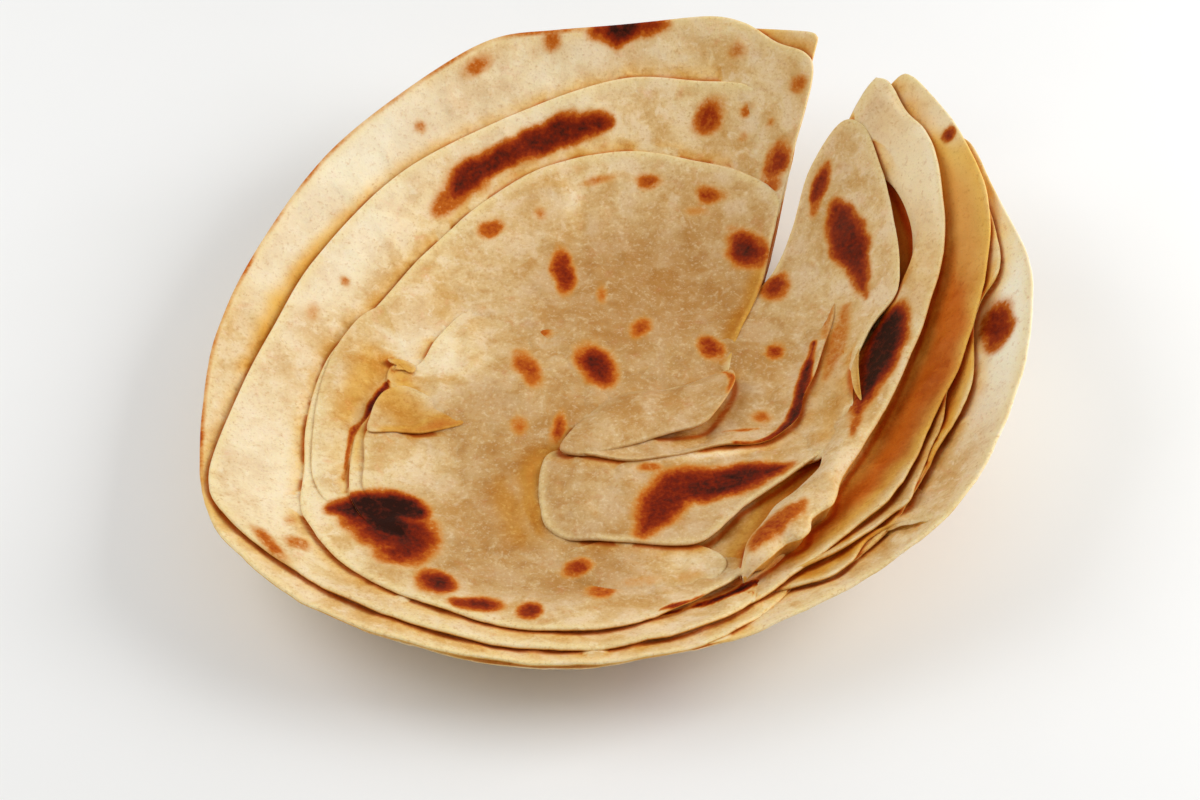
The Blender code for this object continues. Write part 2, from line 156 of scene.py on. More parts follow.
# Thin skins and slivers that are too fine for the solid. thick is a skin's thickness, and
# like names the leaf that it takes its relief from.
SKINS = {
    "ring_skin": dict(like="ring", hub=(188, 68), level=-0.35, rest=-2, thick=0.8, outline=[
        (152, 66, -2.2), (160.5, 72.5, -0.7), (169, 75.5, -0.6), (179, 78.1, -0.6),
        (192, 81.6, -0.6), (207, 87.6, -0.6), (213, 88, -1), (216, 84, -2.2), (212, 74, -2.2),
        (200, 66, -2.2), (185, 56, -2.2), (165, 50, -2.2)]),
    "middle_skin": dict(like="middle", hub=(207, 60), level=1.2, rest=-0.5, thick=0.8, power=4,
                        outline=[
        (196.5, 68.3, 1.3), (206, 73, 1.3), (213, 77.5, 1.0), (218, 77, -0.6), (224, 70, -1.2),
        (223, 56, -1.2), (214, 42, -1.0), (205, 40, -0.8), (198, 52, -0.8), (194, 62, 0.2)]),
    "torn_flap": dict(like="middle", hub=(192, 55), level=1.35, rest=0.3, thick=0.7, power=2,
                      outline=[
        (197.6, 68.4, 2.3), (193, 66.6, 2.4), (188.5, 64.4, 2.3), (184.5, 61.5, 1.8),
        (182, 57, 0.9), (183.5, 52.5, 0.4), (187.5, 48.6, 0.3), (193, 45.2, 0.4),
        (199.8, 42.4, 0.9), (201, 46.5, 1.7), (201, 53, 2.1), (199.3, 61, 2.4)]),
    "torn_bit": dict(like="ring", hub=(174, 58.5), level=0.9, rest=0.2, thick=0.6, power=2, outline=[
        (172.9, 62, 1.3), (174.2, 61, 1.7), (174.5, 59.2, 1.4), (176.4, 59.4, 1.8),
        (176, 56.8, 1.5), (177.2, 55.2, 1.7), (175.4, 54, 1.2), (172.4, 54.8, 0.3),
        (171, 58.6, 0)]),
    "sliver": dict(like="band", hub=(354.5, 67), level=5.6, rest=4, thick=0.5, power=2, outline=[
        (3, 67.6, 5.4), (0, 66.8, 5.9), (356, 67.2, 6.1), (351, 67.8, 6.2), (346.5, 68.8, 5.4),
        (349, 66.8, 5.8), (353, 65.6, 5.6), (358, 65.4, 5)]),
    "front_lap": dict(like="ring", hub=(278, 68), level=0.7, rest=-1.5, thick=1.0, outline=[
        (254, 66, -1.6), (262, 58, -0.8), (272, 55, 0.6), (284, 57.5, 0.9), (291, 62.2, 1.0),
        (293.8, 67.5, 0.9), (294, 72.5, 0.7), (291.5, 75.8, 0.2), (285, 77, -0.8),
        (277, 77, -2), (266, 76.5, -2.4), (258, 73, -2.4)]),
    "hollow": dict(hub=(316, 65), level=1.0, rest=-3, thick=1.0, outline=[
        (287, 72, -2.5), (291, 60, -2), (304, 50, -1.5), (322, 50, 0.4), (333, 57, 2.4),
        (336, 66, 3.2), (331, 71, 3.0), (322, 72, 1.6), (311, 75, -1), (302, 79, -2.4),
        (293, 80, -3)]),
    "fan_mid": dict(hub=(333, 72), level=-5.2, rest=-6.5, thick=1.0, outline=[
        (1, 93, -3), (354, 92.5, -1.9), (348, 90.6, -1.8), (342, 91.1, -1.8), (336, 90.8, -1.8),
        (328.5, 92.2, -1.8), (323.5, 94.6, -1.9), (320.6, 92.4, -1.9), (316.5, 90.8, -1.9),
        (312.5, 90, -1.9), (307, 87.8, -2), (300.6, 84.8, -2.6), (296, 80, -4), (300, 62, -6.5),
        (340, 58, -6.5), (5, 75, -6)]),
    "fan_front": dict(hub=(312, 80), level=-5.2, rest=-6.6, thick=1.0, outline=[
        (296, 84, -5.6), (301.5, 91.5, -4.4), (305.7, 94.8, -4.2), (310, 94.4, -4),
        (315, 92, -3.8), (318, 93.6, -3.7), (320, 98, -4.1), (320.5, 103, -5.4), (324, 102, -6.5),
        (330, 88, -6.8), (320, 70, -6.8), (300, 72, -6.8)]),
}

# The narrow leaf that stands between its neighbours in the fan: pairs of facing knots, and
# how far it bulges between them.
BAND = dict(bulge=2.5, rest=-5.0, pairs=[
    ((46.5, 108.5, 2), (47.5, 99, 0)), ((44.5, 108.8, 2.5), (42, 93, -1)),
    ((39, 106, 3), (34, 94, 1.5)), ((34, 105, 4), (24, 91, 2)), ((28, 102, 5), (13, 82, 2)),
    ((16, 94, 5), (4, 67, 0)), ((4, 85, 5), (348, 60, -1)), ((347, 76.5, 5), (337, 58, 0)),
    ((334, 73.8, 5), (331, 63.5, 3.8)), ((323.3, 74.4, 5), (325.5, 66.3, 5)),
    ((318.5, 77.2, 5), (318.5, 65.8, 5)), ((316.2, 78.2, 5), (315, 65.6, 5)),
    ((313.6, 77.4, 4.9), (312, 65.6, 5)), ((311.3, 77.6, 4.8), (309.5, 65.9, 5)),
    ((309, 80.2, 4.6), (306.5, 67.2, 4.9)), ((306.6, 80.6, 4.5), (304, 68.5, 4.8)),
    ((304, 79, 4.3), (302, 69.6, 4.6)), ((299.8, 80.4, 3.6), (299, 71.8, 4.2)),
    ((296.2, 81, 1.6), (296.4, 75.5, 3)), ((294, 81.5, -1.5), (294, 79.8, -1.5))])


# ---- the cup and the outlines, as in the solid ----

def at(bearing, reach):
    """Point in plan at a bearing and a distance from the cup's axis."""
    angle = math.radians(bearing)
    return np.array([reach * math.cos(angle), reach * math.sin(angle)])


def cup_height(x, y):
    """Height of the cup's surface: flat in the middle, then a parabola to the rim."""
    rise = RIM_RISE + RIM_LEAN * np.cos(np.arctan2(y, x) - math.radians(LEAN_BEARING))
    way_up = np.clip((np.hypot(x, y) - FLAT_RADIUS) / (RIM_RADIUS - FLAT_RADIUS), 0, None)
    return rise * way_up ** 2


def cup_normal(x, y):
    """Unit normal of the cup's surface, from its slopes over a short step."""
    step = 0.1
    slope_x = (cup_height(x + step, y) - cup_height(x - step, y)) / (2 * step)
    slope_y = (cup_height(x, y + step) - cup_height(x, y - step)) / (2 * step)
    normal = np.stack([-slope_x, -slope_y, np.ones_like(slope_x)], axis=-1)
    return normal / np.linalg.norm(normal, axis=-1, keepdims=True)


def smooth_curve(knots, closed, pieces=None):
    """Points of a centripetal Catmull-Rom curve through (x, y, lift) knots."""
    count = len(knots)
    points = []
    for i in range(count if closed else count - 1):
        if closed:
            p0, p1, p2, p3 = (knots[(i + k) % count] for k in (-1, 0, 1, 2))
        else:
            p1, p2 = knots[i], knots[i + 1]
            p0 = knots[i - 1] if i > 0 else 2 * p1 - p2
            p3 = knots[i + 2] if i + 2 < count else 2 * p2 - p1
        t1 = math.sqrt(math.dist(p0[:2], p1[:2]))
        t2 = t1 + math.sqrt(math.dist(p1[:2], p2[:2]))
        t3 = t2 + math.sqrt(math.dist(p2[:2], p3[:2]))
        steps = pieces or math.ceil(math.dist(p1[:2], p2[:2]) / SPACING)
        for t in np.linspace(t1, t2, steps, endpoint=False):
            a1 = ((t1 - t) * p0 + t * p1) / t1
            a2 = ((t2 - t) * p1 + (t - t1) * p2) / (t2 - t1)
            a3 = ((t3 - t) * p2 + (t - t2) * p3) / (t3 - t2)
            b1 = ((t2 - t) * a1 + t * a2) / t2
            b2 = ((t3 - t) * a2 + (t - t1) * a3) / (t3 - t1)
            points.append(((t2 - t) * b1 + (t - t1) * b2) / (t2 - t1))
    if not closed:
        points.append(knots[-1])
    return np.array(points)


def outline_points(knots, closed=True, pieces=None):
    """Outline of a leaf as (x, y, lift), from its (bearing, reach, lift) knots."""
    placed = np.array([[*at(bearing, reach), lift] for bearing, reach, lift in knots])
    return smooth_curve(placed, closed, pieces)


# ---- smooth noise over the plan ----

def noise(x, y, size, seed):
    """Gradient noise from -1 to 1 whose humps are about so many millimetres wide."""
    turns = np.random.default_rng(seed).random((64, 64)) * 2 * math.pi
    u, v = np.asarray(x) / size + 500, np.asarray(y) / size + 500
    iu, iv = np.floor(u).astype(int), np.floor(v).astype(int)
    fu, fv = u - iu, v - iv
    su = fu * fu * fu * (fu * (fu * 6 - 15) + 10)
    sv = fv * fv * fv * (fv * (fv * 6 - 15) + 10)

    def corner(du, dv):
        turn = turns[(iu + du) % 64, (iv + dv) % 64]
        return np.cos(turn) * (fu - du) + np.sin(turn) * (fv - dv)

    low = corner(0, 0) * (1 - su) + corner(1, 0) * su
    high = corner(0, 1) * (1 - su) + corner(1, 1) * su
    return (low * (1 - sv) + high * sv) * 1.5


def layered_noise(x, y, size, seed):
    """Noise with humps of half and a quarter of the size on the coarse ones."""
    return sum(noise(x, y, size / 2 ** k, seed + k) / 2 ** k for k in range(3))


def smoothstep(low, high, value):
    """Smooth rise from 0 to 1 between two limits."""
    t = np.clip((value - low) / (high - low), 0, 1)
    return t * t * (3 - 2 * t)


# ---- relief of the dough ----

def relief(plan, seed, inward):
    """Height that waves and blisters add to a leaf's surface, in millimetres."""
    x, y = plan[..., 0], plan[..., 1]
    reach = np.hypot(x, y)
    calm = 0.35 + 0.65 * smoothstep(15, 60, reach)
    wave = 0.8 * calm * noise(x, y, 36, 11) + 0.32 * noise(x, y, 15, 12)
    own = 0.36 * noise(x, y, 17, seed) + 0.2 * noise(x, y, 7, seed + 1)
    blister = 0.65 * smoothstep(0.15, 0.75, noise(x, y, 8.5, seed + 2))
    pits = -0.12 * smoothstep(0.1, 0.6, noise(x, y, 3.1, seed + 3))
    flutter = 0.45 * np.exp(-inward / 5.0) * noise(x, y, 13, seed + 4)
    return wave + own + blister * smoothstep(1.0, 5.0, inward) + pits + flutter


def thickness(thick, inward):
    """Thickness of a leaf, which grows from its free edge inwards."""
    thin = min(THIN, thick)
    return thin + (thick - thin) * smoothstep(0, TAPER, inward)


def lip_drop(inward, thick):
    """How far the rounded edge falls below the leaf's upper surface."""
    half = min(THIN, thick) / 2
    short = np.clip(half - inward, 0, half)
    return half - np.sqrt(half * half - short * short)


# ---- leaves as closed meshes ----

class Leaf:
    """The upper and lower grids of a leaf, row by row from its edge, in millimetres.

    Along the edge the two grids meet.
    """

    def __init__(self, name, thick, closed):
        self.name = name
        self.thick = thick
        self.closed = closed               # whether it runs right round its hub
        self.rim = 1.0                     # how pale its edge is painted, a painted highlight where it catches the light
        self.top = self.under = None       # points
        self.lift = self.inward = None     # of the upper grid
        self.under_inward = None
        self.edge = None                   # the points all along its edge, in order


def rows_inward(reach, shown, coarse, fine):
    """Distances in from the edge, row by row and column by column, ending at the hub.

    Rows lie a fine step apart as far in as the leaf is shown, and a coarse step after that.
    """
    until = min(shown, NEAR_SHARE * reach.max())
    near = np.array(LIP + tuple(np.arange(LIP[-1] + fine, max(until, LIP[-1] + 3), fine)))
    last = np.minimum(near[-1], NEAR_SHARE * reach)
    # Where the hub is close, the rows draw together, so that they end short of it.
    near = near[:, None] / (1 + near[:, None] * (1 / last - 1 / near[-1]))
    count = max(4, math.ceil((reach - last).max() / coarse))
    far = last + (reach - last) * (np.arange(1, count + 1) / count)[:, None]
    return np.concatenate([near, far])


def raised(plan, lift, height):
    """Points at a lift above the cup, and further out by a height along its normal."""
    x, y = plan[..., 0], plan[..., 1]
    base = np.stack([x, y, cup_height(x, y) + lift], axis=-1)
    return base + height[..., None] * cup_normal(x, y)


def spread(shape, edge, reach, inward):
    """Plan and lift of the points of a leaf, from how far in from its edge they are."""
    centre = at(*shape["hub"])
    out = 1 - inward / reach
    plan = centre + out[..., None] * (edge[:, :2] - centre)
    power = shape.get("power", EDGE_POWER)
    return plan, shape["level"] + (edge[:, 2] - shape["level"]) * out ** power


def make_leaf(name, shape, seed):
    """A leaf that spreads from its hub to its closed outline."""
    bottom = name == "bottom"
    leaf = Leaf(name, shape.get("thick", LEAF), closed=True)
    leaf.rim = SKIN_EDGE_HIGHLIGHT if name in SKINS else shape.get("rim", 1.0)
    edge = outline_points(shape["outline"])
    x, y = edge[:, 0], edge[:, 1]
    if (x * np.roll(y, -1) - y * np.roll(x, -1)).sum() < 0:
        edge = edge[::-1]
    reach = np.hypot(*(edge[:, :2] - at(*shape["hub"])).T)
    leaf.inward = rows_inward(reach, shape.get("shown", EVERYWHERE), INNER_STEP, SHOWN_STEP)
    plan, leaf.lift = spread(shape, edge, reach, leaf.inward)
    drop = lip_drop(leaf.inward, leaf.thick)
    height = relief(plan, seed, leaf.inward)
    leaf.top = raised(plan, leaf.lift, height - drop)
    leaf.edge = leaf.top[0]

    if bottom:
        leaf.under_inward = rows_inward(reach, UNDER_SHOWN, UNDER_STEP, UNDER_STEP)
    else:
        leaf.under_inward = rows_inward(reach, GROOVE, HIDDEN_STEP, UNDER_STEP)
    plan, lift = spread(shape, edge, reach, leaf.under_inward)
    drop = lip_drop(leaf.under_inward, leaf.thick)
    height = relief(plan, seed, leaf.under_inward)
    leaf.under = raised(plan, lift, height + drop - thickness(leaf.thick, leaf.under_inward))
    if bottom:
        leaf.under = lay_flat(leaf.under, plan, shape["rest"])
    else:
        deep = np.clip(lift - leaf.thick - shape["rest"], 0, None)
        leaf.under[..., 2] -= deep * np.clip(leaf.under_inward / GROOVE, 0, 1)
    return leaf


def lay_flat(under, plan, rest):
    """Set the middle of the underside down on the flat, but for its shallow pits."""
    outward = smoothstep(FLAT_RADIUS - 6, FLAT_RADIUS + 5, np.hypot(plan[..., 0], plan[..., 1]))
    x, y = plan[..., 0], plan[..., 1]
    pit = 0.5 * np.clip(layered_noise(x, y, 17, 71), 0, None) + 0.1 * noise(x, y, 4, 72) ** 2
    flat = under.copy()
    flat[..., 2] = rest + pit
    laid = flat + outward[..., None] * (under - flat)
    laid[..., 2] = np.maximum(laid[..., 2], rest)
    return laid


def make_band(name, shape, seed):
    """A leaf that spans from its inner to its outer edge, crowned between them."""
    leaf = Leaf(name, shape.get("thick", LEAF), closed=False)
    far, near = (outline_points(side, closed=False, pieces=BAND_PIECES)
                 for side in zip(*shape["pairs"]))
    width = np.hypot(*(far - near)[:, :2].T)
    run = np.concatenate([[0], np.cumsum(np.hypot(*np.diff(far[:, :2], axis=0).T))])
    lip = np.array(LIP)
    inner_rows = np.arange(LIP[-1] + BAND_STEP, width.max() - LIP[-1] - 0.5, BAND_STEP)
    rows = np.concatenate([lip, inner_rows, width.max() - lip[::-1]])
    part = (rows / rows[-1])[:, None]
    across = near + part[..., None] * (far - near)
    crown = 4 * part * (1 - part)
    leaf.lift = across[..., 2] + shape["bulge"] * crown
    from_side = np.minimum(part, 1 - part) * rows[-1]
    from_end = np.minimum(run, run[-1] - run)
    leaf.inward = np.minimum(from_side, from_end)
    plan = across[..., :2]
    drop = lip_drop(leaf.inward, leaf.thick)
    height = relief(plan, seed, leaf.inward)
    leaf.top = raised(plan, leaf.lift, height - drop)
    leaf.edge = np.concatenate([leaf.top[0], leaf.top[:, -1], leaf.top[-1, ::-1], leaf.top[::-1, 0]])
    leaf.under = raised(plan, leaf.lift, height + drop - thickness(leaf.thick, leaf.inward))
    deep = np.clip(leaf.lift - leaf.thick - shape["rest"], 0, None)
    leaf.under[..., 2] -= deep * np.minimum(crown, smoothstep(0, GROOVE, leaf.inward))
    leaf.under_inward = leaf.inward
    return leaf


def fan(rim, hub, flip):
    """Triangles from a closed row of points to the hub."""
    after = np.roll(rim, -1)
    tris = np.stack([rim, after, np.full_like(rim, hub)], axis=-1)
    return tris[:, ::-1] if flip else tris


def quads(grid, closed, flip):
    """Quads between neighbouring rows and columns of a grid of point numbers."""
    if closed:
        grid = np.concatenate([grid, grid[:, :1]], axis=1)
    faces = np.stack([grid[:-1, :-1], grid[:-1, 1:], grid[1:, 1:], grid[1:, :-1]], axis=-1)
    faces = faces.reshape(-1, 4)
    return faces[:, ::-1] if flip else faces


def mesh_of(leaf, values):
    """Object of a leaf: its two grids joined along the edge, with values at its points."""
    rows, around = leaf.top.shape[:2]
    under_rows = leaf.under.shape[0]
    number = np.arange(rows * around).reshape(rows, around)
    below = rows * around + np.arange(under_rows * around).reshape(under_rows, around)
    below[0] = number[0]
    if leaf.closed:
        faces = [quads(number[:-1], True, False), quads(below[:-1], True, True)]
        tris = [fan(number[-2], number[-1, 0], False), fan(below[-2], below[-1, 0], True)]
    else:
        below[-1] = number[-1]
        below[:, 0] = number[:, 0]
        below[:, -1] = number[:, -1]
        faces = [quads(number, False, False), quads(below, False, True)]
        tris = []
    points = np.concatenate([leaf.top.reshape(-1, 3), leaf.under.reshape(-1, 3)])
    all_faces = [face for block in faces + tris for face in block.tolist()]
    used = np.unique(np.concatenate([block.ravel() for block in faces + tris]))
    place = np.zeros(len(points), dtype=int)
    place[used] = np.arange(len(used))
    points = points[used] + [CUP_AXIS[0], CUP_AXIS[1], MIDDLE_DEPTH]
    data = bpy.data.meshes.new(leaf.name)
    data.from_pydata((points * MM).tolist(), [], [[place[i] for i in f] for f in all_faces])
    for key, (top_value, under_value) in values.items():
        both = np.concatenate([top_value.ravel(), under_value.ravel()])[used]
        layer = data.attributes.new(key, "FLOAT", "POINT")
        layer.data.foreach_set("value", both.astype(np.float32))
    data.polygons.foreach_set("use_smooth", np.ones(len(data.polygons), dtype=bool))
    data.update()
    piece = bpy.data.objects.new(leaf.name, data)
    bpy.context.collection.objects.link(piece)
    return piece


# ---- what marks the surface ----
# Places on it are (bearing, reach), and sizes are in millimetres in plan.

def lift_of(points):
    """Lift of points over the cup's surface."""
    return points[..., 2] - cup_height(points[..., 0], points[..., 1])


class Border:
    """How far places in plan are outside a leaf's edge, on a grid of millimetre cells."""

    LOW, SIZE = -135, 270      # the grid's first millimetre and its side
    WINDOW = 12                # how far from the edge it is filled in

    def __init__(self, leaf):
        self.name = leaf.name
        edge = leaf.edge
        xy = edge[:, :2]
        ahead = np.roll(xy, -1, axis=0) - np.roll(xy, 1, axis=0)
        ahead /= np.hypot(*ahead.T)[:, None] + 1e-9
        outward = np.stack([ahead[:, 1], -ahead[:, 0]], axis=-1)
        away = np.full((self.SIZE, self.SIZE), FAR)
        nearest = np.full((self.SIZE, self.SIZE), -1)
        ticks = np.arange(self.SIZE) + self.LOW
        for k, (x, y) in enumerate(xy):
            i, j = int(x) - self.LOW, int(y) - self.LOW
            part = (slice(i - self.WINDOW, i + self.WINDOW), slice(j - self.WINDOW, j + self.WINDOW))
            far = np.hypot(ticks[part[0]][:, None] - x, ticks[part[1]][None, :] - y)
            closer = far < away[part]
            away[part] = np.where(closer, far, away[part])
            nearest[part] = np.where(closer, k, nearest[part])
        place = np.stack(np.meshgrid(ticks, ticks, indexing="ij"), axis=-1)
        side = ((place - xy[nearest]) * outward[nearest]).sum(axis=-1)
        signed = np.where(away < 2, side, away * np.sign(side))
        self.outside = np.where(nearest < 0, FAR, signed)
        self.lift = np.where(nearest < 0, DEEP, lift_of(edge)[nearest])

    def near(self, x, y):
        """Distance outside the edge and lift of the nearest part of the edge, at places."""
        u = np.clip(x - self.LOW, 0, self.SIZE - 2)
        v = np.clip(y - self.LOW, 0, self.SIZE - 2)
        i, j = u.astype(int), v.astype(int)
        fu, fv = u - i, v - j
        values = []
        for grid in (self.outside, self.lift):
            low = grid[i, j] * (1 - fu) + grid[i + 1, j] * fu
            high = grid[i, j + 1] * (1 - fu) + grid[i + 1, j + 1] * fu
            values.append(low * (1 - fv) + high * fv)
        return values


def edge_shade_distance(leaf, points, borders):
    """Distance from each point to the edges of the leaves over it, up to the reach of the painted
    shade along those edges.
    """
    x, y, lift = points[..., 0], points[..., 1], lift_of(points)
    out = np.full(lift.shape, EDGE_SHADE_REACH)
    for border in borders:
        if border.name != leaf.name:
            outside, edge_lift = border.near(x, y)
            # An edge that isn't higher than the point counts as far away.
            lower = 20 * (1 - smoothstep(0.0, 0.8, edge_lift - lift))
            out = np.minimum(out, np.abs(outside) + lower)
    return out


# Browned places: (leaves, bearing, reach, length, width, turn, depth).
SPOTS = [
    ("outer", 89, 111, 17, 7, 4, 0.95), ("outer", 83.5, 111.5, 12, 4.5, 2, 0.6),
    ("outer", 99, 110, 7, 5, 5, 0.34), ("outer", 111, 109, 11, 4.5, 23, 0.30),
    ("outer", 123, 101.6, 4, 3, 13, 0.28), ("outer", 70, 108, 6, 3.5, 170, 0.26),
    ("outer", 59, 104.7, 6, 4.5, 160, 0.32), ("outer", 61, 95.6, 2.6, 2.2, 156, 0.25),
    ("outer", 57, 88.3, 11, 8, 60, 0.62), ("outer", 56, 82.2, 7, 5, 160, 0.42),
    ("outer", 196, 113, 6, 3, 88, 0.50),
    ("second", 72, 93.2, 11, 8, 22, 0.50), ("second", 66, 96.7, 3.2, 3, 0, 0.35),
    ("second", 65, 91.4, 3, 2.6, 0, 0.22), ("second", 57, 88.3, 11, 8, 60, 0.62),
    ("second", 155, 82.8, 3, 3.6, 13, 0.28), ("second", 165, 86.1, 8, 5, 72, 0.20),
    ("second", 214, 100, 5.5, 4.5, 65, 0.28), ("second", 219, 103, 8, 5.5, 150, 0.30),
    ("second", 218, 109.7, 15, 4.5, 132, 0.38),
    ("ring", 67, 74.5, 9, 5, 174, 0.48), ("ring", 81, 74.4, 8, 4.6, 176, 0.42),
    ("ring", 93, 74.2, 12, 3, 14, 0.28), ("ring", 121, 67.5, 10, 5.5, 42, 0.46),
    ("ring", 108, 66.7, 5, 5, 4, 0.24), ("ring", 52, 63.1, 17, 11.5, 119, 0.78),
    ("ring", 107, 45.5, 17, 7.5, 98, 0.68), ("ring", 94, 34.9, 7, 3.2, 90, 0.30),
    ("ring", 70, 23.9, 9, 6.5, 49, 0.42), ("ring fan_high tongue", 26, 31, 12, 7, 118, 0.56),
    ("ring", 69, 68.8, 6, 3, 0, 0.20), ("ring", 59, 67.6, 4, 2.6, 170, 0.20),
    ("ring middle", 117, 8.3, 19, 11.5, 112, 0.80), ("middle", 166, 23.6, 17, 8, 113, 0.46),
    ("middle", 133, 28.9, 7, 7.5, 176, 0.36), ("middle", 212, 29, 6, 7, 0, 0.34),
    ("middle", 230, 22.3, 12, 4, 83, 0.50),
    ("fan_high ring", 37, 58, 11, 9, 110, 0.62), ("pleat fan_high", 14, 47, 7.5, 5.2, 73, 0.52),
    ("fan_high", 43, 79.5, 5, 3.2, 77, 0.36),
    ("bottom", 358.6, 102.8, 17, 9, 91, 0.74), ("fan_wide", 31, 109.3, 3.2, 2.4, 130, 0.70),
    ("flap", 288, 34, 7, 3, 0, 0.34), ("pleat", 342, 42.6, 7, 6, 0, 0.30),
    ("ring middle", 239, 86.7, 12, 11, 122, 0.85),
    ("ring", 248, 88.4, 16, 6.5, 4, 0.76), ("ring", 256, 85.6, 8, 8, 0, 0.70),
    ("ring front_lap", 262.5, 66.6, 9, 8, 20, 0.52), ("ring", 268, 75.7, 10, 6.5, 18, 0.38),
    ("middle", 255, 69.3, 3, 3, 0, 0.26), ("middle", 258, 67.2, 3, 2.6, 0, 0.22),
    ("ring front_lap", 276, 72.4, 15, 4, 8, 0.15), ("ring front_lap", 285, 73.5, 9, 4, 7, 0.15),
]


# Browned stretches, and one of painted shade: (leaves, depth, knots of bearing, reach and width).
STREAKS = [
    ("second", 0.80, [(90, 89.5, 4), (95, 89, 7.5), (101, 88, 9), (108, 86.4, 8), (114, 85.5, 8),
                      (120, 84, 9), (123, 82.5, 6)]),
    ("second", 0.42, [(118, 84.5, 12), (125, 81.5, 9), (129, 80, 6)]),
    ("ring ring_skin middle middle_skin", 1.0, [
        (214.8, 88, 6), (216, 83.5, 10), (217.6, 77.5, 12), (221, 72.5, 12), (223.5, 70, 8)]),
    ("ring ring_skin middle middle_skin", 0.78, [
        (219, 84, 13), (223.5, 80, 20), (227.5, 78.5, 19), (229.5, 82.5, 14), (228, 87, 8)]),
    ("ring ring_skin middle middle_skin", 1.0, [
        (217, 80, 10), (221, 79, 14), (224, 78.5, 13), (227, 79, 8)]),
    ("ring ring_skin middle", 0.85, [
        (180.5, 61.3, 1.2), (184.5, 63.2, 2.8), (188, 65.2, 3.2), (191.5, 67.6, 1.6), (193, 68.8, 1)]),
    ("ring ring_skin middle", 0.50, [
        (193, 69, 1), (196, 72, 2.2), (200, 74.5, 1.4), (208, 80, 1)]),
    # Painted shade: this faint stretch on the middle leaf, beside the flap's left fold, stands for its
    # shadow.
    ("middle", 0.12, [(238, 29.5, 2), (235.5, 32, 5), (236.5, 36.5, 6), (239.5, 41.5, 4),
                      (242, 45, 1.6)]),
    ("second ring", 0.95, [(300, 84.8, 1.6), (296, 82, 2.4), (291, 83.4, 3), (285, 84, 1.6),
                           (278, 85.5, 0.8)]),
    ("flap", 0.72, [(278.5, 55, 6), (282, 51, 11), (288, 46, 15), (296, 43, 15),
                    (304, 45, 11), (312, 48.5, 7)]),
    ("flap", 0.84, [(300, 46, 12), (311, 49.5, 13), (319, 54, 9), (324, 58.5, 4)]),
    ("fan_high", 0.78, [(39, 82, 6), (35.5, 80, 9.5), (30.5, 78, 10), (25.5, 76.5, 7.5),
                        (20.5, 74.5, 4), (17, 74, 2)]),
    ("fan_high", 0.66, [(46, 88.5, 3), (45.5, 85.5, 6), (44.5, 82, 4)]),
    ("fan_high", 0.25, [(18, 68.5, 4.5), (13, 65, 7), (6.5, 61.5, 7), (359, 58.5, 4)]),
    ("pleat", 0.24, [(24, 67, 3), (20, 64.5, 4), (12.5, 60.5, 3)]),
    ("pleat", 0.32, [(328, 36, 0.8), (333, 40, 1.4), (336, 43.5, 0.8)]),
    ("pleat", 0.84, [(12, 57.5, 2), (4.5, 54.5, 3), (355, 52.5, 4.2), (347, 52, 4.6), (340, 51.5, 4),
                     (334, 49.5, 2.4), (328.5, 46.5, 1.6), (323.5, 41, 1)]),
    ("band", 1.0, [(9.5, 80, 4), (7.5, 77.5, 9), (3.5, 75, 13), (358, 72.5, 12.5), (352, 70.5, 8),
                   (346, 69, 4.5)]),
    ("band", 0.55, [(352, 70.5, 10), (346, 69, 7), (341, 69, 4.5), (335, 70, 2.5)]),
    ("band", 0.42, [(313, 72.5, 4), (309, 72.5, 8), (305.5, 72.8, 9), (301, 74.5, 8), (298, 77, 4)]),
    ("tongue", 0.36, [(3, 30, 1), (356, 33, 1.8), (345, 32.5, 1)]),
]

# Leaves whose very edge is browned: (leaf, from bearing, to bearing, depth).
BROWN_RIMS = [("outer", 85, 215, 0.25), ("bottom", 60, 230, 0.30), ("bottom", 330, 400, 0.10)]
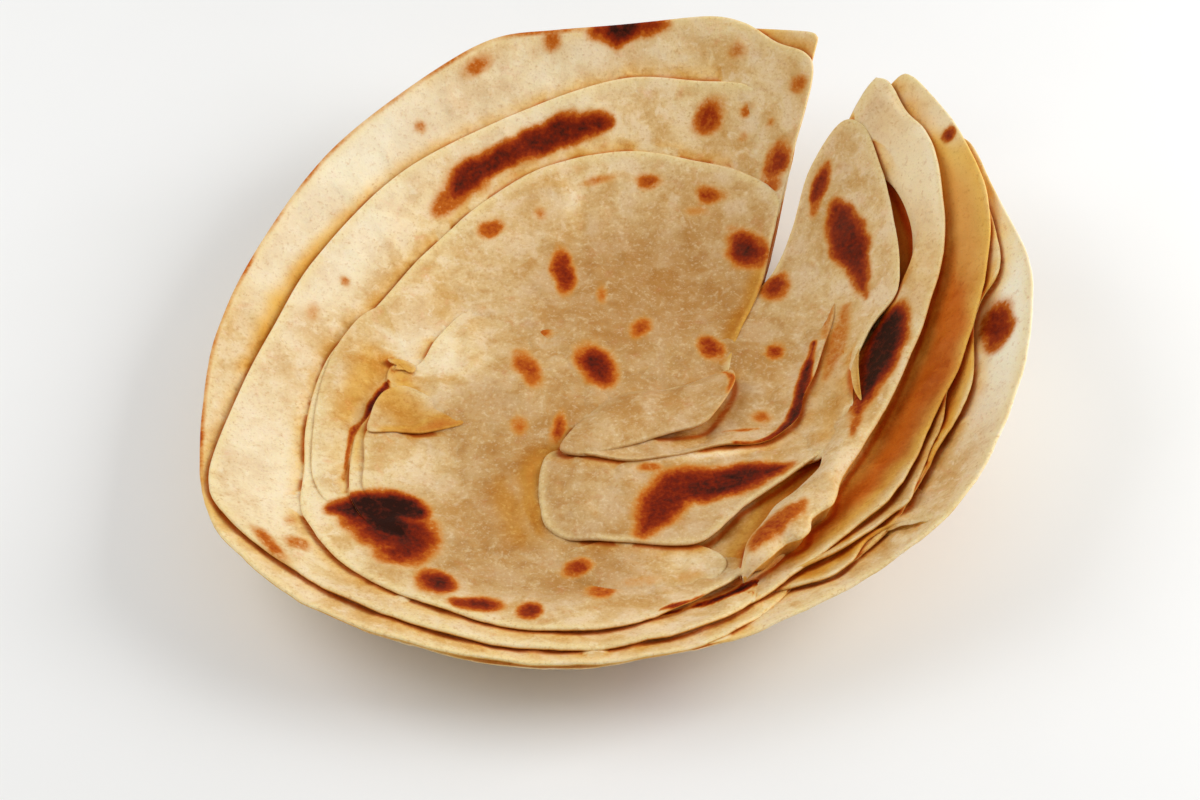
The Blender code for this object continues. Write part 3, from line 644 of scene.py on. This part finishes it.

# Amber, glossier stretches: (leaf, amount, knots of bearing, reach and width). Those in
# crevices and under an overlying edge, on fan_wide, fan_low, fan_mid, fan_front and the hollow,
# on the outer leaf along the second's edge and on the middle and ring along the flap's fold, are
# painted shade, the warm orange of shaded dough; the others make the dough amber and glossier.
OIL_AND_SHADE = [
    ("fan_wide", 0.85, [(38, 97, 6), (30, 93, 9), (22, 89, 9), (12, 84, 9), (2, 79, 8)]),
    ("fan_wide", 0.71, [(40, 106, 3), (34, 104, 6), (27, 105, 11), (20, 102, 14), (12, 97.5, 16),
                        (5, 94, 16)]),
    ("fan_wide", 0.9, [(27, 102.5, 2), (20, 99.5, 5), (13, 96, 9), (6, 92.5, 13), (356, 88.5, 15),
                       (349, 85, 15), (342, 82, 14), (334, 80.5, 13), (326, 79.5, 12),
                       (315, 79, 10), (305, 79, 8)]),
    ("band", 0.2, [(40, 104, 12), (20, 92, 14), (8, 84, 12)]),
    ("fan_low", 0.8, [(8, 101, 3), (2, 98, 6), (350, 93, 6), (335, 90, 6), (318, 90, 6)]),
    ("outer", 0.45, [(120, 92, 5), (135, 90, 7), (150, 92, 8), (165, 94, 8), (180, 98, 6)]),
    ("hollow", 0.7, [(338, 62, 12), (325, 63, 14), (312, 66, 14), (300, 72, 12)]),
    ("torn_flap", 0.4, [(182, 60, 6), (187, 60, 12), (194, 56, 12), (200, 48, 8)]),
    ("torn_flap", 0.8, [(198, 64, 2), (199.5, 58, 4), (199.5, 51, 6), (199.5, 44, 4)]),
    ("ring ring_skin", 0.42, [(171, 68, 6), (176, 67, 11), (184, 69.5, 9), (192, 73, 6)]),
    ("ring_skin", 0.16, [(186, 73, 7), (196, 76, 7), (206, 81, 5)]),
    ("torn_bit", 0.6, [(172, 60, 3), (176, 56, 3)]),
    ("middle", 0.5, [(177, 58, 4), (181, 57, 6), (185, 52, 3)]),
    ("sliver", 0.5, [(2, 67, 3), (347, 68, 3)]),
    ("fan_mid", 0.55, [(0, 90, 6), (345, 86, 8), (325, 86, 8), (305, 84, 8)]),
    ("fan_front", 0.6, [(318, 92, 6), (305, 88, 8)]),
    ("middle ring", 0.62, [(238, 28, 3), (234, 33, 7), (237, 40, 7), (243, 47, 5), (250, 56, 3)]),
    ("middle ring", 0.4, [(230, 46, 4), (238, 52, 10), (247, 60, 8)]),
    ("fan_high", 0.3, [(358, 60, 4), (345, 62, 5), (335, 62, 5)]),
    ("ring", 0.6, [(45, 60, 2), (39, 51, 5), (30, 40, 6), (20, 34, 3)]),
]

# Broad tints and painted light: (leaves or None for any, bearing, reach, length, width, turn,
# amount), paler above 0 and darker below. The thin strip on the flap is a painted highlight under
# its edge, the small one on the ring painted glints, the pale ones on fan_wide painted light in
# its shaded crevice, and the darker one at bearing 340 painted shade on the fan's lower face. The
# pale ones on the band, fan_low and bottom and at bearing 350 are painted light on thin leaves on
# the right that let light through, and those at bearings 95 to 200 over the outer leaves are
# partly the dough's paler tone and partly painted light. The rest only make the dough paler or
# darker there.
TONES_AND_LIGHT = [
    (None, 55, 22, 120, 96, 20, -1.0), (None, 262, 66, 90, 40, 10, -0.5),
    (None, 218, 50, 54, 44, 20, -0.5), (None, 290, 45, 60, 40, 20, -0.4),
    (None, 150, 102, 96, 44, 60, 0.7), (None, 110, 92, 60, 26, 20, 0.45),
    (None, 200, 98, 70, 34, 105, 0.6), (None, 350, 106, 90, 20, 85, 0.8),
    ("band", 30, 98, 50, 26, 120, 1.4), ("fan_low", 0, 104, 70, 30, 85, 0.6),
    ("bottom", 8, 109, 60, 20, 85, 1.4), (None, 340, 88, 60, 14, 70, -0.5),
    ("front_lap", 288, 68, 24, 18, 0, 0.7), (None, 95, 104, 60, 24, 5, 0.3),
    ("outer", 131, 104, 60, 16, 40, 0.5), (None, 82, 48, 60, 44, 0, -0.5),
    (None, 250, 72, 70, 22, 170, -0.6), (None, 238, 40, 34, 20, 60, -1.0),
    ("ring middle ring_skin", 161, 52, 26, 16, 20, 0.8), ("ring", 152, 62, 26, 14, 60, 0.4),
    ("middle middle_skin", 209, 58, 26, 16, 40, 0.5),
    ("middle middle_skin", 205, 44, 26, 18, 30, -0.5),
    ("middle", 172, 45, 16, 10, 20, 0.9), ("outer", 174, 107, 40, 16, 95, -0.4),
    ("middle", 190, 36, 22, 14, 30, -0.4),
    ("fan_high", 18, 76, 76, 40, 60, 0.4), (None, 250, 64, 50, 30, 170, -0.35),
    # Painted highlight: the thin pale strip on the flap, under its edge.
    (None, 20, 14, 60, 16, 20, -0.5), ("flap", 318, 40, 22, 3, 10, 1.6),
    # Painted glints: the small pale place on the ring.
    ("ring", 99, 68, 18, 6, 95, 0.7), ("second", 150, 84, 50, 12, 60, 0.5),
    # Painted light in the shaded crevice of fan_wide: the three pale places on it.
    ("fan_wide", 24, 101.5, 44, 9, 106, 1.2), ("fan_wide", 27, 108, 40, 16, 106, 0.8),
    ("fan_wide", 23, 91, 30, 12, 106, 1.4),
]


def inside_place(x, y, bearing, reach, length, width, turn):
    """Millimetres that points lie inside an ellipse, and below 0 outside it."""
    centre = at(bearing, reach)
    angle = math.radians(turn)
    along = (x - centre[0]) * math.cos(angle) + (y - centre[1]) * math.sin(angle)
    aside = (y - centre[1]) * math.cos(angle) - (x - centre[0]) * math.sin(angle)
    return (1 - np.hypot(2 * along / length, 2 * aside / width)) * min(length, width) / 2


def inside_route(x, y, knots):
    """Millimetres that points lie inside a route of changing width, and below 0 outside."""
    best = np.full(x.shape, -np.inf)
    for route_x, route_y, wide in outline_points(knots, closed=False):
        best = np.maximum(best, wide / 2 - np.hypot(x - route_x, y - route_y))
    return best


def under_spots(count, farthest):
    """Browned spots strewn over the underside, as on the faces that the bread shows."""
    chance = np.random.default_rng(23)
    spots = []
    for _ in range(count):
        length = chance.uniform(4, 17)
        spots.append(("underside", chance.uniform(0, 360), farthest * math.sqrt(chance.uniform()),
                      length, length * chance.uniform(0.45, 0.9), chance.uniform(0, 180),
                      0.3 + 0.028 * length))
    return spots


UNDER_SPOTS = under_spots(26, 104)


def browning_and_shade(name, points, inward, seed):
    """How browned each point of a leaf is, from 0 to 1, with the faint painted shade beside the flap's
    fold among it.
    """
    x, y = points[..., 0], points[..., 1]
    ragged = 0.9 * noise(x, y, 6, seed) + 0.3 * noise(x, y, 3, seed + 1)
    value = np.zeros(x.shape)
    for leaf, *place, depth in SPOTS + UNDER_SPOTS:
        if name in leaf.split():
            half = min(place[2], place[3]) / 2
            inside = inside_place(x, y, *place) + ragged * min(1, half / 3)
            value = np.maximum(value, depth * smoothstep(-0.2 * half - 0.8, 0.85 * half, inside))
    for leaf, depth, knots in STREAKS:
        if name in leaf.split():
            half = max(knot[2] for knot in knots) / 2
            inside = inside_route(x, y, knots) + ragged * min(0.8, half / 4)
            value = np.maximum(value, depth * smoothstep(-0.2 * half - 0.5, 0.7 * half, inside))
    bearing = np.degrees(np.arctan2(y, x)) % 360
    for leaf, start, end, depth in BROWN_RIMS:
        if leaf == name:
            within = np.minimum((bearing - start) % 360, (end - bearing) % 360)
            within = np.where((bearing - start) % 360 < end - start, within, 0)
            part = smoothstep(0, 14, within) * smoothstep(1.5, 0.2, inward)
            value = np.maximum(value, depth * part * (0.8 + 0.6 * noise(x, y, 13, 47)))
    return value


def oil_and_shade(name, points):
    """How amber and glossy the dough is at each point, from 0 to 1: wet dough, and painted shade in
    crevices and under overlying edges.
    """
    x, y = points[..., 0], points[..., 1]
    value = np.zeros(x.shape)
    for leaf, amount, knots in OIL_AND_SHADE:
        if name in leaf.split():
            soft = max(4, 0.4 * max(knot[2] for knot in knots))
            inside = inside_route(x, y, knots) + 1.5 * noise(x, y, 9, 61)
            value = np.maximum(value, amount * smoothstep(-soft, soft, inside))
    return value


def tone_and_light(name, points):
    """How much paler or, below 0, darker the dough is made than usual at each point: partly its own
    tone, partly painted light and shade.
    """
    x, y = points[..., 0], points[..., 1]
    value = np.zeros(x.shape)
    for leaf, bearing, reach, length, width, turn, amount in TONES_AND_LIGHT:
        if leaf is None or name in leaf.split():
            inside = inside_place(x, y, bearing, reach, length, width, turn)
            away = 1 - 2 * inside / min(length, width)
            value += amount * np.exp(-away ** 2)
    return value


# ---- materials ----

def srgb(red, green, blue):
    """Linear colour of a colour given from 0 to 255 as it looks on a screen."""
    shown = np.array([red, green, blue]) / 255
    linear = np.where(shown <= 0.04045, shown / 12.92, ((shown + 0.055) / 1.055) ** 2.4)
    return (*linear.tolist(), 1.0)


class Nodes:
    """Short ways to add and join the nodes of one material."""

    def __init__(self, name):
        self.material = bpy.data.materials.new(name)
        self.material.use_nodes = True
        self.tree = self.material.node_tree
        self.shader = self.tree.nodes["Principled BSDF"]
        self.place = self.add("ShaderNodeTexCoord").outputs["Object"]

    def add(self, kind, **settings):
        node = self.tree.nodes.new(kind)
        for key, value in settings.items():
            setattr(node, key, value)
        return node

    def link(self, source, target):
        if isinstance(source, bpy.types.NodeSocket):
            self.tree.links.new(source, target)
        else:
            target.default_value = source

    def attribute(self, name):
        return self.add("ShaderNodeAttribute", attribute_name=name).outputs["Fac"]

    def noise(self, size, detail=2.0, rough=0.5, twist=0.0):
        """Noise whose humps are about so many millimetres wide."""
        node = self.add("ShaderNodeTexNoise")
        self.link(self.place, node.inputs["Vector"])
        node.inputs["Scale"].default_value = 1 / (size * MM)
        node.inputs["Detail"].default_value = detail
        node.inputs["Roughness"].default_value = rough
        node.inputs["Distortion"].default_value = twist
        return node.outputs["Fac"]

    def math(self, operation, first, second, clamp):
        node = self.add("ShaderNodeMath", operation=operation, use_clamp=clamp)
        self.link(first, node.inputs[0])
        self.link(second, node.inputs[1])
        return node.outputs[0]

    def plus(self, first, second, clamp=False):
        return self.math("ADD", first, second, clamp)

    def times(self, first, second, clamp=False):
        return self.math("MULTIPLY", first, second, clamp)

    def span(self, value, low, high, to_low=0.0, to_high=1.0):
        """Smooth step of a value between two limits."""
        node = self.add("ShaderNodeMapRange", interpolation_type="SMOOTHSTEP")
        self.link(value, node.inputs["Value"])
        node.inputs["From Min"].default_value = low
        node.inputs["From Max"].default_value = high
        node.inputs["To Min"].default_value = to_low
        node.inputs["To Max"].default_value = to_high
        return node.outputs[0]

    def mix(self, share, first, second, blend="MIX"):
        node = self.add("ShaderNodeMix", data_type="RGBA", blend_type=blend)
        self.link(share, node.inputs[0])
        self.link(first, node.inputs[6])
        self.link(second, node.inputs[7])
        return node.outputs[2]

    def ramp(self, value, stops):
        node = self.add("ShaderNodeValToRGB")
        self.link(value, node.inputs["Fac"])
        elements = node.color_ramp.elements
        while len(elements) < len(stops):
            elements.new(1.0)
        for element, (where, colour) in zip(elements, stops):
            element.position = where
            element.color = colour
        return node.outputs["Color"]


def dough_material():
    """Baked dough: mottled, speckled with bran, browned where its leaf says, and given the painted
    light and shade that its leaf carries.
    """
    nodes = Nodes("baked_dough")
    plus, times, mix, span = nodes.plus, nodes.times, nodes.mix, nodes.span
    grit = nodes.noise(0.55, 1.0, 0.5)
    grain = nodes.noise(1.1, 2.0, 0.6)
    speckle = nodes.noise(2.2, 3.0, 0.6)
    mottle = nodes.noise(3.6, 3.0, 0.6, 0.5)
    patch = nodes.noise(9.0, 3.0, 0.55, 0.4)
    broad = nodes.noise(30.0, 2.0, 0.5)
    blush = nodes.noise(5.5, 3.0, 0.7, 0.3)

    def stain(dough, value, low, high, amount, *colour):
        """Lay a colour over the dough as a value goes from one limit to the other."""
        share = times(span(value, low, high), amount)
        return mix(share, dough, srgb(*colour))

    # Mottled dough, between golden and floury.
    dough = mix(span(broad, 0.35, 0.65), srgb(237, 211, 158), srgb(225, 190, 132))
    dough = stain(dough, patch, 0.45, 0.70, 0.75, 209, 162, 90)
    dough = stain(dough, mottle, 0.50, 0.72, 0.5, 202, 153, 86)
    dough = stain(dough, blush, 0.55, 0.75, 0.4, 226, 158, 112)
    dough = stain(dough, patch, 0.52, 0.32, 0.65, 242, 219, 182)
    dough = stain(dough, mottle, 0.46, 0.30, 0.5, 246, 227, 190)

    # Broad tints, partly the dough's own tone and partly painted light and shade, and the pale rims of
    # the leaves, a painted highlight along their edges.
    tone_and_light_fac = nodes.attribute("tone_and_light")
    # Below 0 the tint darkens the dough and above 0 it paints it paler: its own tone in places,
    # painted light and shade in others.
    dough = mix(times(tone_and_light_fac, -1.0, clamp=True), dough, srgb(212, 191, 166), "MULTIPLY")
    dough = mix(times(tone_and_light_fac, 0.75, clamp=True), dough, srgb(255, 246, 220))
    # Painted highlight: the pale rim along each leaf's edge, where the thin edge catches the light.
    rim = times(nodes.attribute("rim"), span(patch, 0.3, 0.6, 0.15, 0.5))
    dough = mix(rim, dough, srgb(246, 226, 168))

    # Specks of bran and flour.
    dough = stain(dough, speckle, 0.56, 0.74, 0.25, 204, 148, 80)
    bran = times(span(grain, 0.54, 0.74), span(tone_and_light_fac, 1.2, -0.6, 0.12, 0.32))
    dough = mix(bran, dough, srgb(182, 128, 64))
    dough = stain(dough, grain, 0.48, 0.28, 0.13, 255, 240, 200)
    dough = stain(dough, grit, 0.58, 0.76, 0.14, 182, 130, 70)
    dough = stain(dough, grit, 0.42, 0.26, 0.07, 255, 244, 214)
    dough = stain(dough, speckle, 0.46, 0.30, 0.16, 244, 226, 182)

    # Amber dough, partly wet and partly painted shade in crevices, and painted shade by overlying
    # edges.
    oil_and_shade_fac = nodes.attribute("oil_and_shade")
    dough = mix(span(oil_and_shade_fac, 0.0, 0.5), dough, srgb(247, 216, 138), "MULTIPLY")
    dough = mix(span(oil_and_shade_fac, 0.45, 1.0), dough, srgb(226, 142, 54), "MULTIPLY")
    # Painted shade beside an overlying edge: a golden band out to about 5.5 mm, and a dark orange seam
    # within the last 1.7 mm.
    shade_gap = nodes.attribute("edge_shade_distance")
    uneven_shade = span(patch, 0.25, 0.7, 0.4, 0.9)
    golden_shade = times(span(shade_gap, 5.5, 0.4), uneven_shade)
    dough = mix(golden_shade, dough, srgb(252, 220, 138), "MULTIPLY")
    seam_shade = times(span(shade_gap, 1.7, 0.2), 0.9)
    dough = mix(seam_shade, dough, srgb(216, 128, 36), "MULTIPLY")

    # Browned places, from light brown to burnt, and the faint painted shade beside the flap's fold.
    browning_and_shade_fac = nodes.attribute("browning_and_shade")
    fuzz = plus(times(plus(grain, -0.5), 0.45), times(plus(mottle, -0.5), 0.5))
    fuzz = times(fuzz, span(browning_and_shade_fac, 0.05, 0.5))
    browning_and_shade_value = plus(browning_and_shade_fac, fuzz, clamp=True)
    burnt = nodes.ramp(browning_and_shade_value, [
        (0.00, srgb(220, 168, 86)), (0.15, srgb(210, 138, 46)), (0.32, srgb(190, 98, 24)),
        (0.52, srgb(153, 50, 8)), (0.74, srgb(114, 26, 8)), (0.88, srgb(76, 22, 14)),
        (1.00, srgb(36, 9, 8))])
    colour = mix(span(browning_and_shade_value, 0.0, 0.32), dough, burnt)
    nodes.link(colour, nodes.shader.inputs["Base Color"])

    # Gloss, light that soaks in, and fine relief.
    rough = plus(times(patch, 0.35), 0.38)
    rough = plus(rough, times(oil_and_shade_fac, -0.18))
    nodes.link(rough, nodes.shader.inputs["Roughness"])
    nodes.shader.inputs["Specular IOR Level"].default_value = 0.2
    nodes.shader.inputs["Specular Tint"].default_value = srgb(255, 196, 140)
    nodes.shader.inputs["Subsurface Weight"].default_value = 0.15
    nodes.shader.inputs["Subsurface Radius"].default_value = (1.0, 0.65, 0.3)
    nodes.shader.inputs["Subsurface Scale"].default_value = 3.0 * MM
    height = plus(plus(times(grain, 0.35), times(speckle, 0.65)), times(grit, 0.08))
    bump = nodes.add("ShaderNodeBump")
    bump.inputs["Strength"].default_value = 0.38
    bump.inputs["Distance"].default_value = 0.5 * MM
    nodes.link(height, bump.inputs["Height"])
    nodes.link(bump.outputs["Normal"], nodes.shader.inputs["Normal"])
    return nodes.material


def floor_material():
    """Matt, nearly even white of a studio floor."""
    nodes = Nodes("studio_floor")
    nodes.shader.inputs["Roughness"].default_value = 0.8
    nodes.link(nodes.mix(nodes.noise(60.0), srgb(240, 240, 238), srgb(244, 244, 243)),
               nodes.shader.inputs["Base Color"])
    return nodes.material


# ---- the bread ----

def make_bread():
    """Make every leaf, mark it, and let it stand for the solid."""
    shapes = LEAVES | SKINS
    # Each leaf's relief has seeds of its own, but a skin takes those of the leaf it is like.
    seeds = {name: 100 + 10 * n for n, name in enumerate([*shapes, "band"])}
    leaves = [make_leaf(name, shape, seeds[shape.get("like", name)])
              for name, shape in shapes.items()]
    leaves.append(make_band("band", BAND, seeds["band"]))
    borders = [Border(leaf) for leaf in leaves]
    dough = dough_material()
    for leaf in leaves:
        nothing = 0 * leaf.under[..., 0]
        if leaf.name == "bottom":
            under_char = browning_and_shade("underside", leaf.under, leaf.under_inward, 43)
            under_shade = nothing
        else:
            under_char = nothing
            # Painted shade: undersides that face another leaf are made amber and darker.
            under_shade = nothing + UNDER_SHADE
        values = {
            # distance to an overlying edge, for the painted shade beside it
            "edge_shade_distance": (edge_shade_distance(leaf, leaf.top, borders), nothing + EDGE_SHADE_REACH),
            # how pale the edge is painted: a painted highlight
            "rim": (leaf.rim * smoothstep(3.0, 0.8, leaf.inward), nothing),
            "browning_and_shade": (browning_and_shade(leaf.name, leaf.top, leaf.inward, 41), under_char),
            "tone_and_light": (tone_and_light(leaf.name, leaf.top), tone_and_light(leaf.name, leaf.under)),
            # how amber: wet dough, and painted shade in crevices and under overlying edges
            "oil_and_shade": (oil_and_shade(leaf.name, leaf.top), under_shade),
        }
        piece = mesh_of(leaf, values)
        piece.name = "leaf_" + leaf.name
        piece.data.materials.append(dough)
        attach(piece, "root")
        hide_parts("paratha")


# ---- the studio ----

def make_floor():
    """Square floor that reaches three metres out to each side."""
    side = 3.0
    data = bpy.data.meshes.new("floor")
    data.from_pydata([(-side, -side, 0), (side, -side, 0), (side, side, 0), (-side, side, 0)],
                     [], [(0, 1, 2, 3)])
    floor = bpy.data.objects.new("floor", data)
    bpy.context.collection.objects.link(floor)
    floor.data.materials.append(floor_material())


def area_light(name, place, size, power, target):
    """Soft square light at a place, in metres, that faces a target."""
    data = bpy.data.lights.new(name, "AREA")
    data.energy = power
    data.size = size
    light = bpy.data.objects.new(name, data)
    light.location = place
    light.rotation_euler = (target - Vector(place)).to_track_quat("-Z", "Y").to_euler()
    bpy.context.collection.objects.link(light)


def make_studio():
    """White surroundings, a key light low on the right and a fill light on the left."""
    scene = bpy.context.scene
    scene.view_settings.view_transform = "Standard"
    world = bpy.data.worlds.new("studio")
    world.use_nodes = True
    world.node_tree.nodes["Background"].inputs["Color"].default_value = (1, 1, 1, 1)
    world.node_tree.nodes["Background"].inputs["Strength"].default_value = 0.42
    scene.world = world
    middle = Vector((0, 0, 0.02))
    area_light("key", (0.72, 0.06, 0.46), 0.5, 5.4, middle)
    area_light("fill", (-0.6, 0.1, 0.55), 0.6, 3.0, middle)


def make_camera():
    """Camera that looks down at the bread from the front."""
    elevation = math.radians(48)
    distance = 0.733
    target = Vector((-4.7, -7.3, 7.2)) * MM
    back = Vector((0, -math.cos(elevation), math.sin(elevation)))
    data = bpy.data.cameras.new("camera")
    data.lens = 80
    data.sensor_width = 36
    camera = bpy.data.objects.new("camera", data)
    camera.location = target + distance * back
    camera.rotation_euler = (math.pi / 2 - elevation, 0, 0)
    bpy.context.collection.objects.link(camera)
    bpy.context.scene.camera = camera


make_bread()
make_floor()
make_studio()
make_camera()
